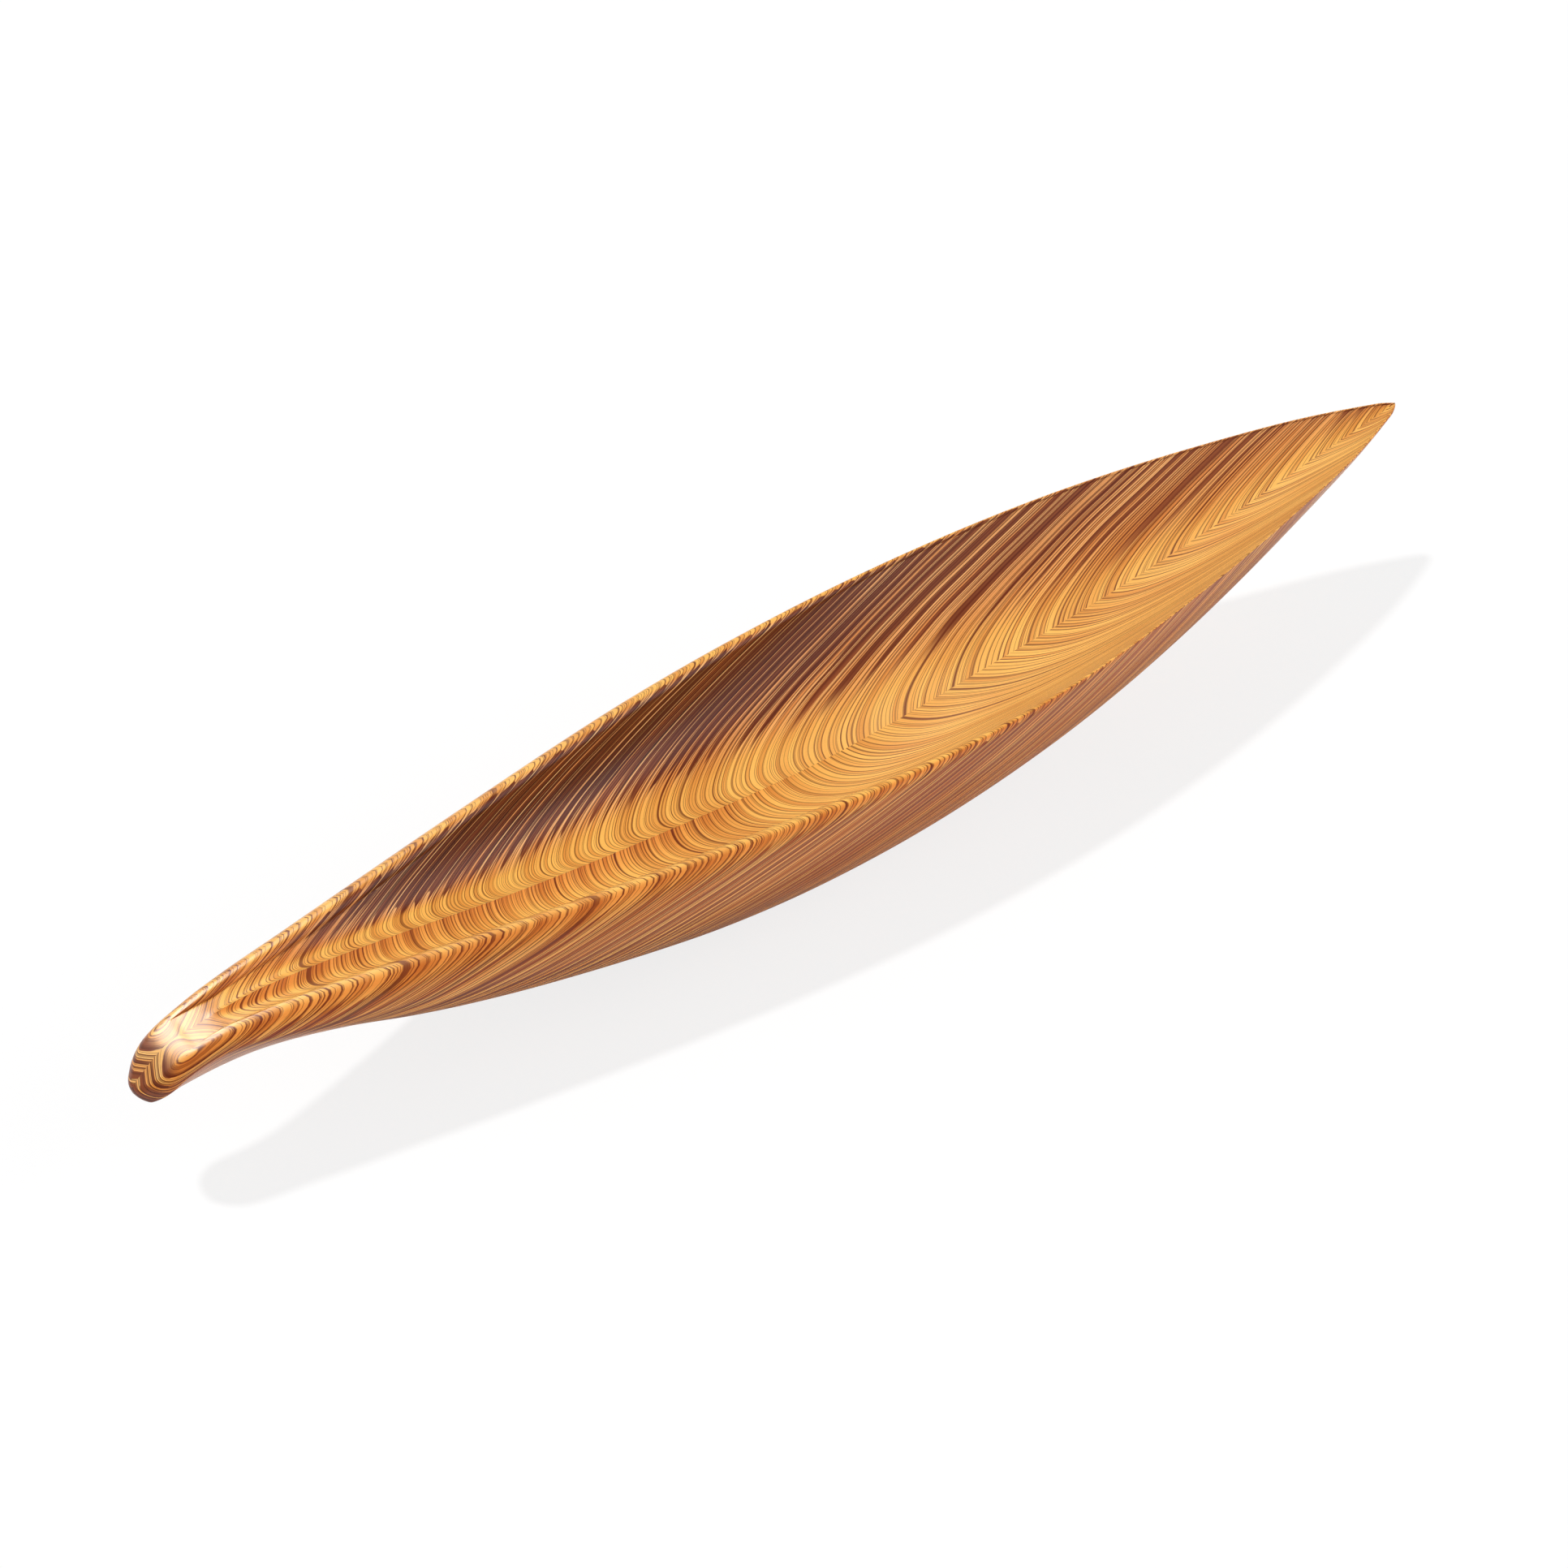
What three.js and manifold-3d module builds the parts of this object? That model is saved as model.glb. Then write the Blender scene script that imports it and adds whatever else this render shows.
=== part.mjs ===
// A long leaf-shaped serving dish, carved from a block of laminated birch.
// The block is two book-matched halves, each a stack of slanting plywood sheets glued face to face.
// X runs from the stem to the tip, Y across and Z up; the origin is on the table under the middle.
import * as THREE from 'three';
import { mergeVertices } from 'three/addons/utils/BufferGeometryUtils.js';
import Module from 'manifold-3d';

const wasm = await Module();
wasm.setup();

// Driving dimensions, in millimetres
const LENGTH = 600;
const FOOT_DEPTH = 0.6; // sanded off the keel, so that the dish stands

// The laminated block
const VENEER = 0.75;
const VENEERS_PER_SHEET = 10;
const SHEET = VENEER * VENEERS_PER_SHEET;
const SHEET_CLIMB = 0.345; // rise of a sheet towards the tip, per millimetre of length
const SHEET_FALL = 0.285; // fall of a sheet away from the centre plane, per millimetre of width
const GLUE_GAP = 0.3;
const SHEETS_PER_HALF = 24;
const TOP_SHEET_HEIGHT = 159; // where the middle of the first sheet would cross the origin's upright

// The carved form at its stations: at is the distance from the stem's end, halfWidth reaches to the
// outside, rim is the crest's height and keel the underside's
const STATIONS = [
  { at: 0, halfWidth: 11, rim: 54.5, keel: 42.5 },
  { at: 12, halfWidth: 12, rim: 61, keel: 39.5 },
  { at: 28, halfWidth: 13.5, rim: 64.5, keel: 39 },
  { at: 46, halfWidth: 17, rim: 66, keel: 39 },
  { at: 70, halfWidth: 22, rim: 66.5, keel: 35 },
  { at: 95, halfWidth: 27.5, rim: 66.5, keel: 27 },
  { at: 150, halfWidth: 38, rim: 66.5, keel: 15 },
  { at: 215, halfWidth: 46.5, rim: 67, keel: 0.5 },
  { at: 290, halfWidth: 52, rim: 67, keel: 0 },
  { at: 365, halfWidth: 51, rim: 68.5, keel: 9 },
  { at: 440, halfWidth: 42, rim: 72, keel: 21 },
  { at: 510, halfWidth: 28.5, rim: 74, keel: 40.5 },
  { at: 565, halfWidth: 14.5, rim: 75, keel: 61 },
  { at: 600, halfWidth: 2, rim: 75.5, keel: 71 },
];

// The hollow's depth below the rim; it starts where the stem's domed top ends
const HOLLOW = [
  { at: 20, depth: 0 },
  { at: 46, depth: 3.5 },
  { at: 70, depth: 6.5 },
  { at: 95, depth: 10.5 },
  { at: 150, depth: 20.5 },
  { at: 215, depth: 28.5 },
  { at: 290, depth: 31.5 },
  { at: 365, depth: 27 },
  { at: 440, depth: 23.5 },
  { at: 510, depth: 15 },
  { at: 565, depth: 6 },
  { at: 600, depth: 0.5 },
];

// How the section's curves change along the dish: 1 is an ellipse and less is fuller
const SECTION_CURVES = [
  { at: 30, sideOut: 1.7, sideUp: 1.8, hollowOut: 0.6, hollowUp: 2.4 },
  { at: 90, sideOut: 1.4, sideUp: 1.2, hollowOut: 0.48, hollowUp: 2.6 },
  { at: 200, sideOut: 1.4, sideUp: 0.75, hollowOut: 0.5, hollowUp: 1.3 },
  { at: 380, sideOut: 0.95, sideUp: 0.9, hollowOut: 0.8, hollowUp: 2.1 },
  { at: 600, sideOut: 1.15, sideUp: 1.6, hollowOut: 1.3, hollowUp: 1.7 },
];

// The rim's rounding: outRun and outDrop reach from its crest to the side, inRun to the hollow
const RIM = [
  { at: 0, outRun: 4.3, outDrop: 4.4, inRun: 2 },
  { at: 30, outRun: 5.4, outDrop: 5.4, inRun: 2 },
  { at: 70, outRun: 7.5, outDrop: 9.5, inRun: 5.2 },
  { at: 150, outRun: 8, outDrop: 15, inRun: 5.5 },
  { at: 230, outRun: 5.5, outDrop: 6.5, inRun: 5.3 },
  { at: 380, outRun: 0.8, outDrop: 1.3, inRun: 1.4 },
  { at: 600, outRun: 0.6, outDrop: 0.6, inRun: 0.6 },
];
const STEM_CROWN = [
  { at: 0, height: 0 },
  { at: 14, height: 1.6 },
  { at: 22, height: 0 },
];

// The midrib along the middle of the hollow
const MIDRIB = [
  { at: 30, height: 0 },
  { at: 45, height: 2.2 },
  { at: 70, height: 3 },
  { at: 110, height: 3.2 },
  { at: 150, height: 3.4 },
  { at: 210, height: 3.2 },
  { at: 290, height: 1.3 },
  { at: 345, height: 0 },
];
const MIDRIB_FLANKS = [
  { at: 40, halfWidth: 3 },
  { at: 100, halfWidth: 12.5 },
  { at: 160, halfWidth: 12.5 },
  { at: 250, halfWidth: 13.5 },
];

// The rounded ends
const NOSE_HEIGHT = 48;
const NOSE_WIDTH_RUN = 11.5;
const NOSE_TOP_RUN = 34.5;
const NOSE_UNDER_RUN = 6.5;
const TIP_RUN = 7;
const RIM_SHARE_OUT = 0.66;
const RIM_SHARE_IN = 0.3;
const RIM_SHARE_DOWN = 0.5;
const END_STEP = 0.3; // the first and last section lie this far inside the ends

// How finely the form is faceted
const SIDE_STEPS = 6;
const RIM_STEPS = 4;
const HOLLOW_STEPS = 9;
const HOLLOW_CROWDING = 2.2; // above 1 it draws the hollow's points towards the midrib
const NOSE_STEPS = 6;
const BODY_STEPS = 24;
const TIP_STEPS = 3;
const MERGE_TOLERANCE = 1e-4;

// Reads a smooth curve through a table of stations
function read(table, key, at) {
  const last = table.length - 1;
  const x = THREE.MathUtils.clamp(at, table[0].at, table[last].at);
  const slope = (i) => (table[i + 1][key] - table[i][key]) / (table[i + 1].at - table[i].at);
  const tangent = (i) => {
    if (i === 0) return 1.5 * slope(0) - 0.5 * tangent(1);
    if (i === last) return 1.5 * slope(last - 1) - 0.5 * tangent(last - 1);
    const before = table[i].at - table[i - 1].at;
    const after = table[i + 1].at - table[i].at;
    return (slope(i - 1) * after + slope(i) * before) / (before + after);
  };
  let i = 0;
  while (i < last - 1 && x > table[i + 1].at) i += 1;
  const run = table[i + 1].at - table[i].at;
  const t = (x - table[i].at) / run;
  const start = table[i][key] * (1 + 2 * t) * (1 - t) ** 2 + run * tangent(i) * t * (1 - t) ** 2;
  const end = table[i + 1][key] * t * t * (3 - 2 * t) - run * tangent(i + 1) * t * t * (1 - t);
  return start + end;
}

// A quarter circle's rise from 0 to 1 over a run
function roundEnd(distance, run) {
  const r = Math.min(distance / run, 1);
  return Math.sqrt(1 - (1 - r) ** 2);
}

// Half a section of the dish, from the keel round the side and the rim to the middle of the hollow
function halfSection(at) {
  const nose = (height, run) => THREE.MathUtils.lerp(NOSE_HEIGHT, height, roundEnd(at, run));
  const ends = roundEnd(at, NOSE_WIDTH_RUN) * roundEnd(LENGTH - at, TIP_RUN);
  const width = read(STATIONS, 'halfWidth', at) * ends;
  const top = nose(read(STATIONS, 'rim', at), NOSE_TOP_RUN);
  const keel = nose(read(STATIONS, 'keel', at), NOSE_UNDER_RUN);
  const depth = at < HOLLOW[0].at ? 0 : read(HOLLOW, 'depth', at);
  const crown = read(STEM_CROWN, 'height', at) * roundEnd(at, NOSE_TOP_RUN);
  const midrib = read(MIDRIB, 'height', at);
  const flank = read(MIDRIB_FLANKS, 'halfWidth', at);
  const curve = (key) => read(SECTION_CURVES, key, at);

  // The rim's rounding keeps to its share of a small section, and needs a hollow to fall into
  const outRun = Math.min(read(RIM, 'outRun', at), width * RIM_SHARE_OUT);
  const outDrop = Math.min(read(RIM, 'outDrop', at), (top - keel) * RIM_SHARE_DOWN);
  const widest = Math.min(read(RIM, 'inRun', at), width * RIM_SHARE_IN);
  const inRun = THREE.MathUtils.clamp(depth, 0, widest);
  const mouth = width - outRun - inRun;
  const sideTop = top - outDrop;
  const hollowTop = top - inRun;
  const floor = top - depth;
  const crowned = (out, up) => [out, up + crown * (1 - (out / width) ** 2)];

  const points = [];
  for (let i = 0; i < SIDE_STEPS; i += 1) {
    const angle = (i / SIDE_STEPS) * (Math.PI / 2);
    const out = width * Math.sin(angle) ** curve('sideOut');
    points.push([out, keel + (sideTop - keel) * (1 - Math.cos(angle) ** curve('sideUp'))]);
  }
  for (let i = 0; i <= RIM_STEPS; i += 1) {
    const angle = (i / RIM_STEPS) * Math.PI;
    const [run, drop] = angle < Math.PI / 2 ? [outRun, outDrop] : [inRun, inRun];
    points.push(crowned(width - outRun + run * Math.cos(angle), top - drop * (1 - Math.sin(angle))));
  }
  for (let i = HOLLOW_STEPS - 1; i >= 0; i -= 1) {
    const angle = (i / HOLLOW_STEPS) ** HOLLOW_CROWDING * (Math.PI / 2);
    const out = mouth * Math.sin(angle) ** curve('hollowOut');
    const up = floor + (hollowTop - floor) * (1 - Math.cos(angle) ** curve('hollowUp'));
    points.push(crowned(out, up + midrib * Math.max(0, 1 - out / flank) ** 2));
  }
  return points;
}

// The sections' places, closer together at the rounded ends
function sectionPlaces() {
  const places = [];
  for (let i = 0; i < NOSE_STEPS; i += 1) {
    places.push(END_STEP + NOSE_TOP_RUN * (1 - Math.cos((i / NOSE_STEPS) * (Math.PI / 2))));
  }
  for (let i = 0; i <= BODY_STEPS; i += 1) {
    places.push(THREE.MathUtils.lerp(NOSE_TOP_RUN + END_STEP, LENGTH - TIP_RUN, i / BODY_STEPS));
  }
  for (let i = 1; i <= TIP_STEPS; i += 1) {
    const reach = (TIP_RUN - END_STEP) * Math.sin((i / TIP_STEPS) * (Math.PI / 2));
    places.push(LENGTH - TIP_RUN + reach);
  }
  return places;
}

// A closed skin over a row of like outlines, with a flat cap at each end
function loft(outlines) {
  const size = outlines[0].length;
  const positions = outlines.flat().flat();
  const triangles = [];
  for (let row = 0; row + 1 < outlines.length; row += 1) {
    for (let i = 0; i < size; i += 1) {
      const a = row * size + i;
      const b = row * size + ((i + 1) % size);
      triangles.push(a, b, b + size, a, b + size, a + size);
    }
  }
  const lastRow = (outlines.length - 1) * size;
  const flat = (outline) => outline.map(([, y, z]) => new THREE.Vector2(y, z));
  for (const [a, b, c] of THREE.ShapeUtils.triangulateShape(flat(outlines[0]), [])) {
    triangles.push(a, c, b);
  }
  for (const [a, b, c] of THREE.ShapeUtils.triangulateShape(flat(outlines.at(-1)), [])) {
    triangles.push(lastRow + a, lastRow + b, lastRow + c);
  }
  const geometry = new THREE.BufferGeometry();
  geometry.setAttribute('position', new THREE.Float32BufferAttribute(positions, 3));
  geometry.setIndex(triangles);
  return geometry;
}

// The whole carved dish as one skin, before it is divided into its sheets
function carvedDish() {
  const outlines = sectionPlaces().map((at) => {
    const half = halfSection(at);
    const other = half.slice(1, -1).reverse().map(([y, z]) => [-y, z]);
    const x = at - LENGTH / 2;
    return [...half, ...other].map(([y, z]) => [x, y, z - FOOT_DEPTH]);
  });
  return loft(outlines);
}

function toSolid(geometry) {
  const bare = geometry.clone();
  bare.deleteAttribute('normal');
  bare.deleteAttribute('uv');
  const merged = mergeVertices(bare, MERGE_TOLERANCE);
  return new wasm.Manifold(new wasm.Mesh({
    numProp: 3,
    vertProperties: new Float32Array(merged.attributes.position.array),
    triVerts: new Uint32Array(merged.index.array),
  }));
}

function toGeometry(solid) {
  const { vertProperties, triVerts } = solid.getMesh();
  const geometry = new THREE.BufferGeometry();
  geometry.setAttribute('position', new THREE.BufferAttribute(vertProperties, 3));
  geometry.setIndex(new THREE.BufferAttribute(triVerts, 1));
  geometry.computeVertexNormals();
  return geometry;
}

// The space above the table on one side of the centre glue line
function halfSpace(side) {
  const box = new THREE.BoxGeometry(LENGTH * 1.2, LENGTH, LENGTH);
  box.translate(0, side * (LENGTH / 2 + GLUE_GAP / 2), LENGTH / 2);
  return toSolid(box);
}

// One sheet of the block: a slab whose middle passes through the height given at the origin
function sheetSpace(side, height) {
  const normal = new THREE.Vector3(-SHEET_CLIMB, side * SHEET_FALL, 1).normalize();
  const slab = new THREE.BoxGeometry(LENGTH * 1.5, LENGTH, SHEET - GLUE_GAP);
  const turn = new THREE.Quaternion().setFromUnitVectors(new THREE.Vector3(0, 0, 1), normal);
  slab.applyQuaternion(turn);
  slab.translate(0, 0, height);
  return toSolid(slab);
}

const dish = new THREE.Group();
const WOOD = { roughness: 0.35, metalness: 0 };
const WOOD_COLOURS = [0xc98f4e, 0xb97a3b];
const SHEET_SPACING = SHEET * Math.hypot(SHEET_CLIMB, SHEET_FALL, 1);

const carved = toSolid(carvedDish());
for (const [hand, side] of [['left', 1], ['right', -1]]) {
  const half = carved.intersect(halfSpace(side));
  for (let i = 0; i < SHEETS_PER_HALF; i += 1) {
    const piece = half.intersect(sheetSpace(side, TOP_SHEET_HEIGHT - i * SHEET_SPACING));
    const material = new THREE.MeshStandardMaterial({ color: WOOD_COLOURS[i % 2], ...WOOD });
    const sheet = new THREE.Mesh(toGeometry(piece), material);
    sheet.name = `${hand}_sheet_${String(i + 1).padStart(2, '0')}`;
    dish.add(sheet);
  }
}

export default dish;
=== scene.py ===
"""A long leaf-shaped serving dish, carved from a block of laminated birch.

The dish is a stack of slanting plywood sheets in two book-matched halves. Every sheet is its own
piece, with the carved surface of the whole dish where it comes to the light, and one wood finish
draws the veneers, their glue lines, their grain and the satin lacquer. Sizes are in millimetres
where their name has mm in it and in metres elsewhere.
"""
import logging
import math
from collections.abc import Callable
from dataclasses import dataclass, field
from enum import Enum
from functools import partial

import bmesh
import bpy
import numpy as np
from mathutils import Matrix, Vector


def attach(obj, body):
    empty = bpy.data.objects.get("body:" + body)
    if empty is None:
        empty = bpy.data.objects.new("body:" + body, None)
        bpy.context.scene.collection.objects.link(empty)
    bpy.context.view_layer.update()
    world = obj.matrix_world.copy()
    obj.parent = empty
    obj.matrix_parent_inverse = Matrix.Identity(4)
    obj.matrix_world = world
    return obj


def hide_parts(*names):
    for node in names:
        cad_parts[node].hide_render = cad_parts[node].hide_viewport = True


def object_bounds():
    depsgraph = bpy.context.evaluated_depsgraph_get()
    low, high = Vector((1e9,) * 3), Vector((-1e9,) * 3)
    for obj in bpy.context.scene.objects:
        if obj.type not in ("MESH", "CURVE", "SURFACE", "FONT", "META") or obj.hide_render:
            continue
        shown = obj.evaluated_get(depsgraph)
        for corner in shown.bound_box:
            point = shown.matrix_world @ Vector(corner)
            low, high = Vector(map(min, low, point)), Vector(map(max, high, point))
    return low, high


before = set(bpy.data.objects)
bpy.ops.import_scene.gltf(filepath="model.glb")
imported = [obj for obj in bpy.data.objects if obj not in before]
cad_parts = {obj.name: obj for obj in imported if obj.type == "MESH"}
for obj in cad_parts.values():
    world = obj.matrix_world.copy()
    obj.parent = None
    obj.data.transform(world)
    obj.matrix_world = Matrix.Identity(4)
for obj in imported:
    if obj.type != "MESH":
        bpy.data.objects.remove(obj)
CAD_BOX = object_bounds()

AddNode = Callable[..., bpy.types.Node]
Range = tuple[float, ...]

log = logging.getLogger("leaf_dish")
MM = 0.001
IMAGE_SIZE = 1932

# How near, in metres, counts as one point, as no face, as on a plane and as at the centre wall
WELD = 2e-6
SLIVER = 1e-6
FINE_SLIVER = 5e-7
ON_PLANE = 1e-7
AT_WALL = 1e-4

# The least cosine between a face of the centre wall and the sideways direction, and between a
# carved face and the smooth normal that is kept for it
SIDEWAYS = 0.99999
CARVED = 0.7

# A face with this many corners or more closes a cut
CUT_CORNERS = 9

SMOOTH = {"interpolation_type": "SMOOTHSTEP"}
# The near side, turned away from the key lamp: faces that turn to it get painted shade
TO_NEAR_SIDE = (0.0, -1.0, 0.0)

# Noise runs from 0 to 1, which is this many times its swing to either side
NOISE_SPAN = 2


class Half(Enum):
    """The two book-matched halves: the value is the side of the centre plane on which it lies."""

    LEFT = 1
    RIGHT = -1


@dataclass(frozen=True)
class StationCurve:
    """A smooth curve through a few given values along the dish.

    Args:
        places: distances from the stem's end, in mm.
        values: the value at each place.
    """

    places: tuple[float, ...]
    values: tuple[float, ...]

    def at(self, x: np.ndarray) -> np.ndarray:
        """Reads the curve.

        Args:
            x: distances from the stem's end, in mm.

        Returns:
            The values there, held level beyond the first and the last place.
        """
        places = np.array(self.places, float)
        values = np.array(self.values, float)
        run = np.diff(places)
        slope = np.diff(values) / run
        tangent = np.empty_like(values)
        tangent[1:-1] = (slope[:-1] * run[1:] + slope[1:] * run[:-1]) / (run[:-1] + run[1:])

        # The curve leaves its first and last place as a parabola
        tangent[0] = 1.5 * slope[0] - 0.5 * tangent[1]
        tangent[-1] = 1.5 * slope[-1] - 0.5 * tangent[-2]

        x = np.clip(x, places[0], places[-1])
        i = np.clip(np.searchsorted(places, x, side="right") - 1, 0, len(run) - 1)
        t = (x - places[i]) / run[i]
        start = values[i] * (1 + 2 * t) * (1 - t) ** 2 + run[i] * tangent[i] * t * (1 - t) ** 2
        end = values[i + 1] * t * t * (3 - 2 * t) - run[i] * tangent[i + 1] * t * t * (1 - t)
        return start + end


STATIONS = (0, 12, 28, 46, 70, 95, 150, 215, 290, 365, 440, 510, 565, 600)
CURVE_STATIONS = (30, 90, 200, 380, 600)
RIM_STATIONS = (0, 30, 70, 150, 230, 380, 600)


@dataclass
class CarvedForm:
    """The carved outside, rim and hollow of the dish, as half sections along its length.

    The curves give millimetres, except side_out, side_up, hollow_out and hollow_up, which give
    the powers that bend the side and the hollow away from an ellipse.
    """

    length_mm: float = 600.0
    foot_depth_mm: float = 0.6
    end_step_mm: float = 0.3
    nose_height_mm: float = 48.0
    nose_width_run_mm: float = 11.5
    nose_top_run_mm: float = 34.5
    nose_under_run_mm: float = 6.5
    tip_run_mm: float = 7.0
    least_width_mm: float = 1e-6
    half_width: StationCurve = StationCurve(
        STATIONS, (11, 12, 13.5, 17, 22, 27.5, 38, 46.5, 52, 51, 42, 28.5, 14.5, 2))
    rim: StationCurve = StationCurve(
        STATIONS, (54.5, 61, 64.5, 66, 66.5, 66.5, 66.5, 67, 67, 68.5, 72, 74, 75, 75.5))
    keel: StationCurve = StationCurve(
        STATIONS, (42.5, 39.5, 39, 39, 35, 27, 15, 0.5, 0, 9, 21, 40.5, 61, 71))
    hollow_depth: StationCurve = StationCurve(
        (20, *STATIONS[3:]), (0, 3.5, 6.5, 10.5, 20.5, 28.5, 31.5, 27, 23.5, 15, 6, 0.5))
    side_out: StationCurve = StationCurve(CURVE_STATIONS, (1.7, 1.4, 1.4, 0.95, 1.15))
    side_up: StationCurve = StationCurve(CURVE_STATIONS, (1.8, 1.2, 0.75, 0.9, 1.6))
    hollow_out: StationCurve = StationCurve(CURVE_STATIONS, (0.6, 0.48, 0.5, 0.8, 1.3))
    hollow_up: StationCurve = StationCurve(CURVE_STATIONS, (2.4, 2.6, 1.3, 2.1, 1.7))
    rim_out: StationCurve = StationCurve(RIM_STATIONS, (4.3, 5.4, 7.5, 8, 5.5, 0.8, 0.6))
    rim_drop: StationCurve = StationCurve(RIM_STATIONS, (4.4, 5.4, 9.5, 15, 6.5, 1.3, 0.6))
    rim_in: StationCurve = StationCurve(RIM_STATIONS, (2, 2, 3, 3, 3, 1.4, 0.6))
    rim_share_out: float = 0.66
    rim_share_down: float = 0.5
    rim_share_in: float = 0.3
    stem_crown: StationCurve = StationCurve((0, 14, 22), (0, 1.6, 0))
    midrib: StationCurve = StationCurve(
        (30, 45, 70, 110, 150, 210, 290, 345), (0, 2.2, 3, 3.2, 3.4, 3.2, 1.3, 0))
    midrib_flank: StationCurve = StationCurve((40, 100, 160, 250), (3, 12.5, 12.5, 13.5))
    side_steps: int = 30
    rim_steps: int = 16
    hollow_steps: int = 60
    hollow_crowding: float = 2.2
    wall_steps: int = 5
    nose_steps: int = 40
    body_steps: int = 380
    tip_steps: int = 12

    def places(self) -> np.ndarray:
        """The sections' distances from the stem's end in mm, closer together at the round ends."""
        quarter = math.pi / 2
        first = self.end_step_mm
        last = self.length_mm - self.end_step_mm
        nose_end = first + self.nose_top_run_mm
        tip_start = last - self.tip_run_mm
        nose = first + self.nose_top_run_mm * (
            1 - np.cos(np.linspace(0, quarter, self.nose_steps, endpoint=False)))
        body = np.linspace(nose_end, tip_start, self.body_steps, endpoint=False)
        tip = tip_start + self.tip_run_mm * np.sin(np.linspace(0, quarter, self.tip_steps))
        return np.concatenate([nose, body, tip])

    def half_rings(self, at: np.ndarray) -> np.ndarray:
        """Works out closed half sections: keel, side, rim, hollow and down the centre wall.

        Args:
            at: distances from the stem's end, in mm.

        Returns:
            An array [section, point, (x, y, z)] in mm, in the frame of the CAD model. The last
            point of a section repeats the first.
        """
        def rounded(distance: np.ndarray, run: float) -> np.ndarray:
            """Rises from 0 to 1 over a run of mm as a quarter of a circle does."""
            return np.sqrt(np.maximum(1 - (1 - np.clip(distance / run, 0, 1)) ** 2, 0))[:, None]

        def read(curve: StationCurve) -> np.ndarray:
            """Reads a curve at every section."""
            return curve.at(at)[:, None]

        def from_nose_height(curve: StationCurve, run: float) -> np.ndarray:
            """Reads a curve of heights that starts in the middle of the round nose."""
            rise = read(curve) - self.nose_height_mm
            return self.nose_height_mm + rise * rounded(from_nose, run)

        from_nose = at - self.end_step_mm
        from_tip = self.length_mm - self.end_step_mm - at
        width = read(self.half_width) * rounded(from_nose, self.nose_width_run_mm)
        width = width * rounded(from_tip, self.tip_run_mm)
        top = from_nose_height(self.rim, self.nose_top_run_mm)
        keel = from_nose_height(self.keel, self.nose_under_run_mm)
        has_hollow = at[:, None] >= self.hollow_depth.places[0]
        depth = np.where(has_hollow, read(self.hollow_depth), 0)

        # The rim's rounding keeps to its share of a small section, and needs a hollow to fall into
        out_run = np.minimum(read(self.rim_out), width * self.rim_share_out)
        out_drop = np.minimum(read(self.rim_drop), (top - keel) * self.rim_share_down)
        in_run = np.clip(depth, 0, np.minimum(read(self.rim_in), width * self.rim_share_in))

        share = np.sin(np.linspace(0, math.pi / 2, self.side_steps, endpoint=False))
        angle = share[None] * math.pi / 2
        side_y = width * np.sin(angle) ** read(self.side_out)
        side_z = keel + (top - out_drop - keel) * (1 - np.cos(angle) ** read(self.side_up))

        angle = np.linspace(0, math.pi, self.rim_steps + 1)[None]
        is_outer = angle < math.pi / 2
        rim_y = width - out_run + np.where(is_outer, out_run, in_run) * np.cos(angle)
        rim_z = top - np.where(is_outer, out_drop, in_run) * (1 - np.sin(angle))

        share = np.linspace(1, 0, self.hollow_steps + 1)[1:] ** self.hollow_crowding
        angle = share[None] * math.pi / 2
        hollow_y = (width - out_run - in_run) * np.sin(angle) ** read(self.hollow_out)
        hollow_z = top - depth + (depth - in_run) * (1 - np.cos(angle) ** read(self.hollow_up))
        flank = np.maximum(0, 1 - hollow_y / read(self.midrib_flank))
        hollow_z = hollow_z + read(self.midrib) * flank ** 2

        upper_y = np.concatenate([rim_y, hollow_y], axis=1)
        crown = read(self.stem_crown) * rounded(from_nose, self.nose_top_run_mm)
        crown = crown * (1 - (upper_y / np.maximum(width, self.least_width_mm)) ** 2)
        upper_z = np.concatenate([rim_z, hollow_z], axis=1) + crown

        share = np.linspace(0, 1, self.wall_steps + 1)[1:][None]
        wall_z = upper_z[:, -1:] * (1 - share) + keel * share
        y = np.concatenate([side_y, upper_y, np.zeros_like(wall_z)], axis=1)
        z = np.concatenate([side_z, upper_z, wall_z], axis=1)
        x = np.broadcast_to(at[:, None] - self.length_mm / 2, y.shape)
        return np.stack([x, y, z - self.foot_depth_mm], axis=-1)


@dataclass
class PlywoodStack:
    """The laminated block: parallel sheets that climb to the tip and fall away from the centre."""

    veneer_mm: float = 0.75
    veneers_per_sheet: int = 10
    climb: float = 0.345
    fall: float = 0.285
    sheets: int = 24
    top_sheet_height_mm: float = 159.0
    hairline_mm: float = 0.02

    @property
    def slant(self) -> float:
        """Height along the upright for each mm of thickness across the sheets."""
        return math.hypot(self.climb, self.fall, 1)

    def boundary_mm(self, index: int) -> float:
        """The height over the origin at which the top of sheet number index lies."""
        spacing = self.veneer_mm * self.veneers_per_sheet * self.slant
        return self.top_sheet_height_mm + (0.5 - index) * spacing

    def normal(self, half: Half) -> Vector:
        """The direction across the sheets of one half, pointing up."""
        return Vector((-self.climb, half.value * self.fall, 1)).normalized()


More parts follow.
